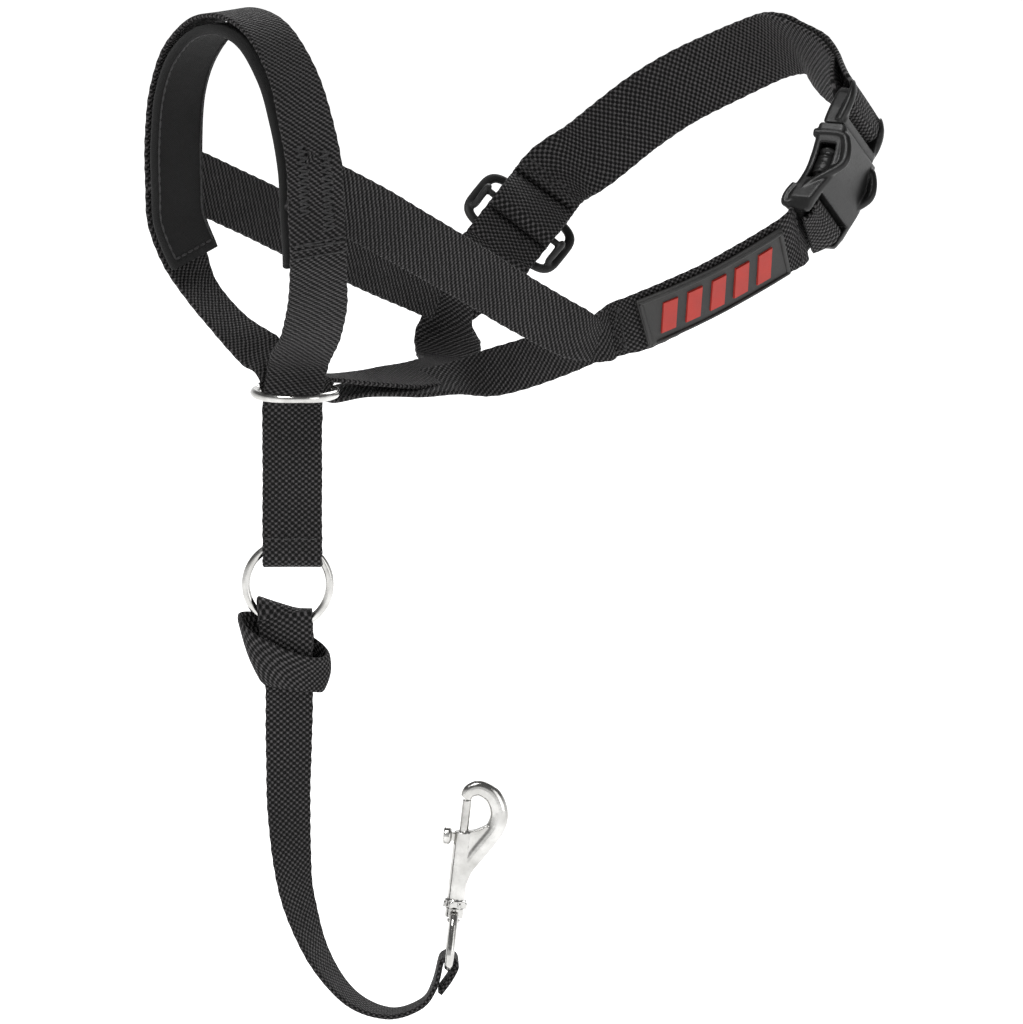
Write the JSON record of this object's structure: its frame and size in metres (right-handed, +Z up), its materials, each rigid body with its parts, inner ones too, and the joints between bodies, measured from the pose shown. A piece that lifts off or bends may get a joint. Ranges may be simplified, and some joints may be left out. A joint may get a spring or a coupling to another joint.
{
  "type": "head halter",
  "caption": "Webbing head halter for a dog: padded nose loop, cheek and jaw straps, buckled neck strap, lead ring and a safety strap with a bolt snap.",
  "frame": {"origin": "centre of the nose loop, where the muzzle passes through it", "axes": "+X from nose to neck, +Y towards the far cheek, +Z up, as worn"},
  "size_m": [0.2633, 0.134, 0.3439],
  "materials": {
    "webbing": "black woven nylon",
    "pad": "black neoprene, knitted face",
    "patch_rubber": "matt black rubber",
    "red_rubber": "matt red rubber",
    "plastic": "moulded black acetal",
    "nickel": "polished nickel plate"
  },
  "bodies": {
    "halter": {"nose_band": "webbing", "nose_pad": "pad", "near_cheek_strap": "webbing", "far_cheek_strap": "webbing", "jaw_strap": "webbing", "neck_strap_near": "webbing", "label_patch": "patch_rubber", "patch_motif": "red_rubber", "buckle_female": "plastic", "neck_strap_far": "webbing", "neck_strap_return": "webbing"},
    "chin_ring": {"chin_ring": "nickel"},
    "pull_strap": {"pull_strap": "webbing"},
    "lead_ring": {"lead_ring": "nickel"},
    "safety_strap": {"safety_strap": "webbing", "safety_strap_keeper": "webbing"},
    "snap_eye": {"snap_eye": "nickel"},
    "snap_body": {"snap_body": "nickel", "snap_spring": "nickel"},
    "snap_bolt": {"snap_bolt": "nickel"},
    "buckle_male": {"buckle_male_base": "plastic", "neck_strap_buckle_loop": "webbing"},
    "prong_upper": {"buckle_prong_upper": "plastic"},
    "prong_lower": {"buckle_prong_lower": "plastic"},
    "slider": {"slider": "plastic", "neck_strap_sewn_end": "webbing"}
  },
  "joints": [
    {"name": "pull_strap_slide", "type": "slide", "parent": "halter", "child": "pull_strap", "axis": [0, 0, -1], "range_m": [0, 0.02]},
    {"name": "chin_ring_tilt", "type": "hinge", "parent": "halter", "child": "chin_ring", "pos_m": [0.0375, 0, -0.075], "axis": [0, 1, 0], "range_deg": [-5, 5]},
    {"name": "lead_ring_swing", "type": "hinge", "parent": "pull_strap", "child": "lead_ring", "pos_m": [0.02326, 0.00067, -0.1285], "axis": [0.7431, -0.6691, 0], "range_deg": [-30, 30]},
    {"name": "safety_strap_swing", "type": "hinge", "parent": "lead_ring", "child": "safety_strap", "pos_m": [0.02177, 0.00201, -0.1535], "axis": [0.7431, -0.6691, 0], "range_deg": [-15, 15]},
    {"name": "snap_eye_tilt", "type": "hinge", "parent": "safety_strap", "child": "snap_eye", "pos_m": [0.0617, -0.03394, -0.26728], "axis": [0.6691, 0.7431, 0], "range_deg": [-25, 25]},
    {"name": "snap_swivel", "type": "hinge", "parent": "snap_eye", "child": "snap_body", "pos_m": [0.06331, -0.0354, -0.2482], "axis": [0.0841, -0.0757, 0.9936], "continuous": true},
    {"name": "snap_bolt_slide", "type": "slide", "parent": "snap_body", "child": "snap_bolt", "axis": [-0.0841, 0.0757, -0.9936], "range_m": [0, 0.008], "stiffness_N_per_m": 150, "springref_m": -0.004, "deforming": ["snap_spring"]},
    {"name": "buckle_slide", "type": "slide", "parent": "halter", "child": "buckle_male", "axis": [0.5349, 0.2198, 0.8159], "range_m": [0, 0.02]},
    {"name": "prong_upper_press", "type": "hinge", "parent": "buckle_male", "child": "prong_upper", "pos_m": [0.2144, -0.05616, -0.00139], "axis": [0.4025, -0.9152, -0.0174], "range_deg": [0, 7], "stiffness_Nm_per_rad": 0.3},
    {"name": "prong_lower_press", "type": "hinge", "parent": "buckle_male", "child": "prong_lower", "pos_m": [0.22837, -0.04981, -0.01226], "axis": [-0.4025, 0.9152, 0.0174], "range_deg": [0, 7], "stiffness_Nm_per_rad": 0.3},
    {"name": "slider_slide", "type": "slide", "parent": "halter", "child": "slider", "axis": [-0.8458, -0.2192, -0.4864], "range_m": [0, 0.0035]}
  ],
  "couplings": [
    {"joint": "prong_lower_press", "follows": "prong_upper_press", "ratio": 1}
  ]
}
